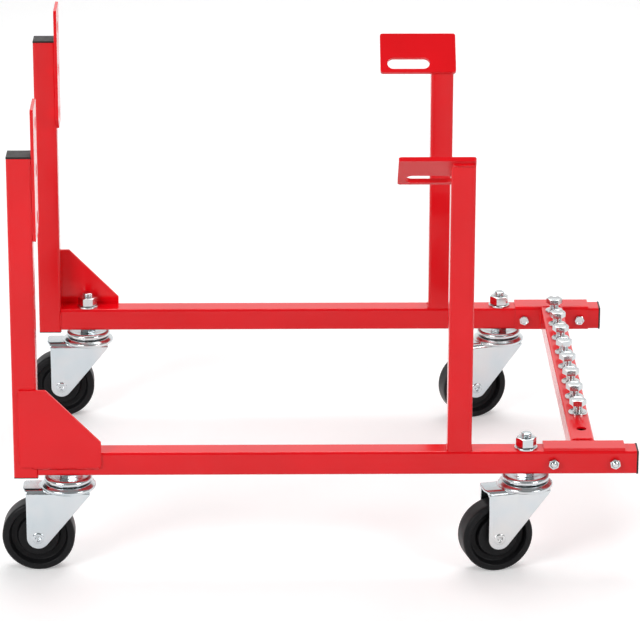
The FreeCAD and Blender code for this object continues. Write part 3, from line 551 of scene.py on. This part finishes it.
def bracket_welds(welds, side, sign, seed):
    """Beads along the sloped top of a front upright; the outer one fills the bracket's overhang."""
    low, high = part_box(f"{side}_front_upright")
    outer, inner = outer_inner(f"{side}_front_upright", sign)
    top, bottom = high.z, high.z - (high.y - low.y)
    inset = 2 * MM
    proud = 1.6 * MM
    edge, height = outer + sign * proud, top + proud
    bead(welds, (low.x + inset, edge, height), (high.x - inset, edge, height),
         WELD_SIZE * 1.5, seed, ripple=5 * MM, relief=0.5)
    bead(welds, (low.x + inset, inner, bottom), (high.x - inset, inner, bottom), WELD_SIZE, seed + 1)


def saddle_welds(welds, sign, seed):
    """Beads round the end of the crossbar, on the saddle's flange."""
    low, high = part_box("crossbar")
    y = low.y if sign < 0 else high.y
    for number, x in enumerate((low.x, high.x)):
        bead(welds, (x, y, low.z + WELD_INSET), (x, y, high.z - WELD_INSET), WELD_SIZE, seed + number)
    bead(welds, (low.x + WELD_INSET, y, low.z), (high.x - WELD_INSET, y, low.z), WELD_SIZE, seed + 2)
    bead(welds, (low.x + WELD_INSET, y, high.z), (high.x - WELD_INSET, y, high.z),
         WELD_SIZE, seed + 3, ripple=4 * MM, relief=0.45)


# ---------------------------------------------------------------- fasteners

def hex_bolt(head_flats, head, diameter, pitch, length):
    """A hex-head bolt with a washer face, a dished top and a real screw thread."""
    radius = diameter / 2
    face = head_flats / 2 * 0.95
    shank = thread_rings(radius, pitch, -length + 0.6 * MM, -0.8 * MM)
    rings = [(radius - 1.3 * MM, -length)] + shank
    rings += [(radius - 0.1 * MM, -0.5 * MM), (radius + 0.3 * MM, 0.0), (face, 0.0), (face, 0.35 * MM)]
    rings += hex_rings(head_flats, 0.35 * MM, head)
    rings += [(head_flats * 0.40, head), (head_flats * 0.36, head - 0.25 * MM), (0.4 * MM, head - 0.25 * MM)]
    return turned(rings, 36)


def hex_nut(flats, thickness, bore):
    """A hex nut, chamfered on both faces, with a countersunk bore."""
    rings = hex_rings(flats, 0.0, thickness, chamfer_low=True)
    inner = bore / 2
    rings += [(inner + 0.9 * MM, thickness), (inner, thickness - 0.9 * MM), (inner, 0.9 * MM),
              (inner + 0.9 * MM, 0.0)]
    return turned(rings, 36, loop=True)


def flat_washer(diameter, bore, thickness):
    """A stamped washer: one edge rolled over, the other slightly burred."""
    outer, inner, roll = diameter / 2, bore / 2, thickness * 0.35
    rings = arc(outer - roll, thickness - roll, roll, 0, 90, 4) + [(inner + roll * 0.5, thickness)]
    rings += [(inner, thickness - roll * 0.5), (inner, 0.0), (outer - 0.15 * MM, 0.0), (outer, 0.15 * MM)]
    return turned(rings, 60, loop=True)


def saddle_fasteners():
    """M6 screws and nuts through the saddles and rails."""
    bolt_low, bolt_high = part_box("saddle_bolts")
    height = (bolt_low.z + bolt_high.z) / 2
    flats = bolt_high.z - bolt_low.z
    corner = flats / 2 / math.cos(math.pi / 6)
    positions = (bolt_low.x + corner, bolt_high.x - corner)
    crossbar_low, crossbar_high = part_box("crossbar")
    nut_low, nut_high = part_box("saddle_nuts")
    bolts, nuts = Builder(), Builder()
    for sign in SIDES.values():
        near = sign < 0
        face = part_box("right_rail")[0].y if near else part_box("left_rail")[1].y
        under_head = crossbar_low.y if near else crossbar_high.y
        tip = bolt_low.y if near else bolt_high.y
        thickness = abs((nut_low.y if near else nut_high.y) - face)
        for number, x in enumerate(positions):
            spin = 0.3 * number + 0.15 * sign
            screw = hex_bolt(flats, SADDLE_SCREW_HEAD, SADDLE_SCREW_SIZE, SADDLE_SCREW_PITCH,
                             abs(tip - under_head))
            bolts.add(*screw, pose((x, under_head, height), (0, -sign, 0), spin))
            nut = hex_nut(flats, thickness, SADDLE_SCREW_SIZE)
            nuts.add(*nut, pose((x, face, height), (0, sign, 0), spin))
    bolts.piece("saddle_screws_threaded", "frame", BOLT_ZINC, ["saddle_bolts"], slot="zinc_plate")
    nuts.piece("saddle_nuts_chamfered", "frame", BOLT_ZINC, ["saddle_nuts"], slot="zinc_plate")


def stored_bolts():
    """The bolts kept in the crossbar, each a little differently turned."""
    chooser = random.Random(8)
    bolt_low, bolt_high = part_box("storage_bolts")
    washer_low, washer_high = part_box("storage_washers")
    nut_low, nut_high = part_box("storage_nuts")
    x = (washer_low.x + washer_high.x) / 2
    radius = (washer_high.x - washer_low.x) / 2
    first, last = washer_high.y - radius, washer_low.y + radius
    under = bolt_high.z - STORED_HEAD
    bolts, washers, nuts = Builder(), Builder(), Builder()
    for number in range(STORED_COUNT):
        y = first + (last - first) * number / (STORED_COUNT - 1)
        spin = math.radians(30 + chooser.uniform(-9, 9))
        bolt = hex_bolt(STORED_FLATS, STORED_HEAD, STORED_SIZE, STORED_PITCH, under - bolt_low.z)
        bolts.add(*bolt, pose((x, y, under), spin=spin))
        ring = flat_washer(2 * radius, STORED_BORE, washer_high.z - washer_low.z)
        washers.add(*ring, pose((x, y, washer_low.z)))
        nut = hex_nut(STORED_FLATS, nut_high.z - nut_low.z, STORED_SIZE)
        nuts.add(*nut, pose((x, y, nut_high.z), (0, 0, -1), chooser.uniform(0, math.pi / 3)))
    bolts.piece("storage_bolts_threaded", "frame", BOLT_ZINC, ["storage_bolts"], slot="zinc_plate")
    washers.piece("storage_washers_stamped", "frame", BOLT_ZINC, ["storage_washers"], slot="zinc_plate")
    nuts.piece("storage_nuts_chamfered", "frame", BOLT_ZINC, ["storage_nuts"], slot="zinc_plate")


def stem_fasteners():
    """The M12 nuts and washers on top of the rails."""
    washers, nuts = Builder(), Builder()
    nut_low, nut_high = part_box("stem_nuts")
    washer_low, washer_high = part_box("stem_washers")
    for number, caster in enumerate(CASTERS):
        place = middle(f"{caster}_caster_race")
        ring = flat_washer(STEM_WASHER, STEM_BORE, washer_high.z - washer_low.z)
        washers.add(*ring, pose((place.x, place.y, washer_low.z)))
        nut = hex_nut(STEM_FLATS, nut_high.z - nut_low.z, STEM_SIZE)
        nuts.add(*nut, pose((place.x, place.y, nut_low.z), spin=math.radians(30 + 4 * number)))
    washers.piece("stem_washers_stamped", "frame", BOLT_ZINC, ["stem_washers"], slot="zinc_plate")
    nuts.piece("stem_nuts_chamfered", "frame", BOLT_ZINC, ["stem_nuts"], slot="zinc_plate")


# ---------------------------------------------------------------- casters

def joint(name):
    """A joint of the record by its name."""
    return next(item for item in frame["joints"] if item["name"] == name)


def caster_stem(caster):
    """Riveted kingpin, hex collar and threaded stud, all in one turned piece."""
    low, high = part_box(f"{caster}_caster_stem")
    rail_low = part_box("right_rail")[0]
    place = middle(f"{caster}_caster_stem")
    collar_low = rail_low.z - COLLAR_HEIGHT
    head_top = low.z + 3.4 * MM
    rings = [(3 * MM, low.z + 0.6 * MM), (5 * MM, low.z)]
    rings += arc(7.4 * MM, low.z + 1.6 * MM, 1.6 * MM, -90, 0, 4)
    rings += [(9 * MM, head_top), (5 * MM, head_top), (5 * MM, collar_low)]
    rings += hex_rings(COLLAR_FLATS, collar_low, rail_low.z, chamfer_low=True)
    rings += [(5.9 * MM, rail_low.z)]
    rings += thread_rings(STEM_SIZE / 2 - 0.05 * MM, STEM_PITCH, rail_low.z + 1 * MM, high.z - 0.5 * MM)
    rings += [(4.6 * MM, high.z), (0.4 * MM, high.z)]
    stem = Builder()
    stem.add(*turned(rings, 36), Matrix.Translation((place.x, place.y, 0.0)))
    stem.piece(f"{caster}_stem_threaded", "frame", BOLT_ZINC, [f"{caster}_caster_stem"], slot="zinc_plate")


def caster_race(caster):
    """The pressed upper race: a dished cup with a full round rim."""
    low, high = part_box(f"{caster}_caster_race")
    place = (low + high) / 2
    rim = (high.x - low.x) / 2
    inner = 5.05 * MM
    track = middle(f"{caster}_caster_balls")
    ball_low, ball_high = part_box(f"{caster}_caster_balls")
    ball = (ball_high.z - ball_low.z) / 2 + 0.08 * MM
    circle = (ball_high.x - ball_low.x) / 2 - ball + 0.08 * MM
    roll = (high.z - low.z) / 2 - 0.2 * MM
    dish = high.z - 1.9 * MM
    under = math.degrees(math.asin((low.z - track.z) / ball))
    rings = [(inner, low.z)] + arc(circle, track.z, ball, 180 - under, under, 8)
    rings += arc(rim - roll, low.z + roll, roll, -90, 0, 8)
    rings += arc(rim - roll, high.z - roll, roll, 0, 110, 9)
    rings += [(rim - 8.5 * MM, dish + 0.55 * MM), (12.5 * MM, dish + 0.1 * MM), (inner, dish)]
    race = Builder()
    race.add(*turned(rings, 96, loop=True), Matrix.Translation((place.x, place.y, 0.0)))
    race.piece(f"{caster}_race_pressed", "frame", ZINC, [f"{caster}_caster_race"], slot="zinc_plate",
               sharp=50)


def caster_fork(caster):
    """The pressed fork, its CAD shape with every bend and edge rounded as a press leaves it."""
    node = f"{caster}_caster_fork"
    source = frame["nodes"][node]
    made = bpy.data.objects.new(f"{caster}_fork_pressed", source.data.copy())
    bpy.context.scene.collection.objects.link(made)
    remesh = made.modifiers.new("remesh", "REMESH")
    remesh.mode = "VOXEL"
    remesh.voxel_size = FORK_VOXEL
    remesh.use_smooth_shade = True
    smooth = made.modifiers.new("smooth", "SMOOTH")
    smooth.factor = 0.5
    smooth.iterations = 6
    bpy.context.view_layer.update()
    graph = bpy.context.evaluated_depsgraph_get()
    mesh = bpy.data.meshes.new_from_object(made.evaluated_get(graph))
    made.modifiers.clear()
    made.data = mesh
    mesh.materials.clear()
    mesh.materials.append(ZINC)
    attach(made, f"{caster}_fork")
    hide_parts(node)


def wheel_rings(radius, width):
    """Half the wheel's section from the hub out to the tread, then mirrored."""
    half = width / 2
    hub = 14 * MM
    face = 9.5 * MM
    floor = 3.5 * MM
    rings = [(6.06 * MM, hub), (9.4 * MM, hub), (10.0 * MM, hub - 0.6 * MM), (10.4 * MM, face + 0.5 * MM),
             (11.0 * MM, face), (20.0 * MM, face)]
    rings += arc(20.3 * MM, face - 1.2 * MM, 1.2 * MM, 90, 0, 5)
    rings += arc(23.7 * MM, floor + 1.5 * MM, 1.5 * MM, 180, 270, 4)
    rings += arc(28.0 * MM, floor + 1.5 * MM, 1.5 * MM, 270, 350, 4)
    rings += arc(31.9 * MM, half - 1.4 * MM, 1.4 * MM, 165, 90, 4)
    rings += [(radius - 4.6 * MM, half - 0.1 * MM)]
    rings += arc(radius - 3.4 * MM, half - 3.6 * MM, 3.4 * MM, 80, 8, 8)
    rings += [(radius - 0.03 * MM, half * 0.45), (radius, 0.35 * MM), (radius - 0.0001 * MM, 0.12 * MM)]
    mirrored = [(ring_radius, -height) for ring_radius, height in reversed(rings)]
    return rings + mirrored


def caster_wheel(caster):
    """The moulded wheel on its bush."""
    spin = joint(f"{caster}_spin")
    low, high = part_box(f"{caster}_caster_wheel")
    radius = (high.z - low.z) / 2
    wheel = Builder()
    wheel.add(*turned(wheel_rings(radius, WHEEL_WIDTH), 128, loop=True), pose(spin["pos_m"], spin["axis"]))
    wheel.piece(f"{caster}_wheel_moulded", f"{caster}_wheel", WHEEL_BLACK, [f"{caster}_caster_wheel"],
                slot="wheel_plastic", sharp=38)


def caster_axle(caster):
    """The axle pin, its ends spread over into low rivet heads by a three-pointed punch."""
    spin = joint(f"{caster}_spin")
    outer = FORK_OUTER

    def punched(radius, height, depth):
        return lambda angle: (radius * (1 + depth * math.cos(3 * angle)) * MM, outer + height * MM)

    head = [(4.0 * MM, outer), (6.2 * MM, outer), (6.1 * MM, outer + 0.2 * MM),
            (5.5 * MM, outer + 0.55 * MM), (4.4 * MM, outer + 0.8 * MM), punched(3.3, 0.9, 0.12),
            punched(2.8, 0.6, 0.45), punched(2.4, -1.2, 0.5), punched(0.5, -1.3, 0.3)]
    tail = [mirror(ring) for ring in reversed(head)]
    axle = Builder()
    axle.add(*turned(tail + head, 48), pose(spin["pos_m"], spin["axis"], math.radians(30)))
    axle.piece(f"{caster}_axle_riveted", f"{caster}_fork", ZINC, [f"{caster}_caster_axle"],
               slot="zinc_plate", sharp=75)


def mirror(ring):
    """The same ring on the other side of the middle plane."""
    if callable(ring):
        return lambda angle: (ring(angle)[0], -ring(angle)[1])
    return ring[0], -ring[1]


def casters():
    for caster in CASTERS:
        caster_stem(caster)
        caster_race(caster)
        caster_fork(caster)
        caster_wheel(caster)
        caster_axle(caster)
        finish_cad(f"{caster}_caster_bush", ZINC, 0.0)
        finish_cad(f"{caster}_caster_balls", BALL_STEEL, 0.0)


# ---------------------------------------------------------------- studio

def studio():
    """White paper floor, a bright surround and two soft boxes."""
    paper = bpy.data.meshes.new("floor")
    reach = 9.0
    paper.from_pydata([(-reach, -reach, 0), (reach, -reach, 0), (reach, reach, 0), (-reach, reach, 0)],
                      [], [(0, 1, 2, 3)])
    paper.materials.append(floor_white())
    floor = bpy.data.objects.new("floor", paper)
    bpy.context.scene.collection.objects.link(floor)

    surround()
    add_light("overhead", (0.2, 1.5, 2.5), 2.2, 40)
    add_light("left_box", (-1.9, -2.1, 1.5), 1.3, 40)
    add_light("right_box", (2.1, -2.0, 1.3), 1.1, 25)


def surround():
    """The room: a bright sweep behind the stand, a darker room in front, a pale ceiling."""
    world = bpy.data.worlds.new("studio")
    world.use_nodes = True
    nodes, links = world.node_tree.nodes, world.node_tree.links
    split = nodes.new("ShaderNodeSeparateXYZ")
    links.new(nodes.new("ShaderNodeTexCoord").outputs["Generated"], split.inputs[0])

    def graded(axis, low, high, first, second):
        made = nodes.new("ShaderNodeMapRange")
        made.interpolation_type = "SMOOTHSTEP"
        for name, value in (("From Min", low), ("From Max", high)):
            made.inputs[name].default_value = value
        for name, value in (("To Min", first), ("To Max", second)):
            if isinstance(value, float):
                made.inputs[name].default_value = value
            else:
                links.new(value, made.inputs[name])
        links.new(split.outputs[axis], made.inputs["Value"])
        return made.outputs["Result"]

    walls = graded("Y", -0.45, 0.55, ROOM_FRONT, ROOM_BACK)
    everything = graded("Z", 0.25, 0.75, walls, ROOM_CEILING)
    links.new(everything, nodes["Background"].inputs["Strength"])
    nodes["Background"].inputs["Color"].default_value = (1.0, 1.0, 1.0, 1.0)
    bpy.context.scene.world = world


def add_light(name, place, size, power):
    """A square soft box that faces the stand."""
    light = bpy.data.lights.new(name, "AREA")
    light.size = size
    light.energy = power
    made = bpy.data.objects.new(name, light)
    made.location = place
    made.rotation_euler = (CENTRE - Vector(place)).to_track_quat("-Z", "Y").to_euler()
    bpy.context.scene.collection.objects.link(made)


def camera():
    """A long lens on the stand's right side, a little above it."""
    data = bpy.data.cameras.new("camera")
    data.lens = CAMERA_LENS
    data.clip_end = 100
    made = bpy.data.objects.new("camera", data)
    turn = Matrix.Rotation(math.radians(-CAMERA_TURN), 4, "Z")
    tilt = Matrix.Rotation(math.radians(90 - CAMERA_ELEVATION), 4, "X")
    roll = Matrix.Rotation(math.radians(CAMERA_ROLL), 4, "Z")
    facing = turn @ tilt @ roll
    back = facing @ Vector((0, 0, CAMERA_DISTANCE))
    made.matrix_world = Matrix.Translation(CENTRE + AIM_OFFSET + back) @ facing
    bpy.context.scene.collection.objects.link(made)
    bpy.context.scene.camera = made


red_frame()
weld_beads()
saddle_fasteners()
stored_bolts()
stem_fasteners()
casters()
studio()
camera()
bpy.context.scene.view_settings.view_transform = "Standard"
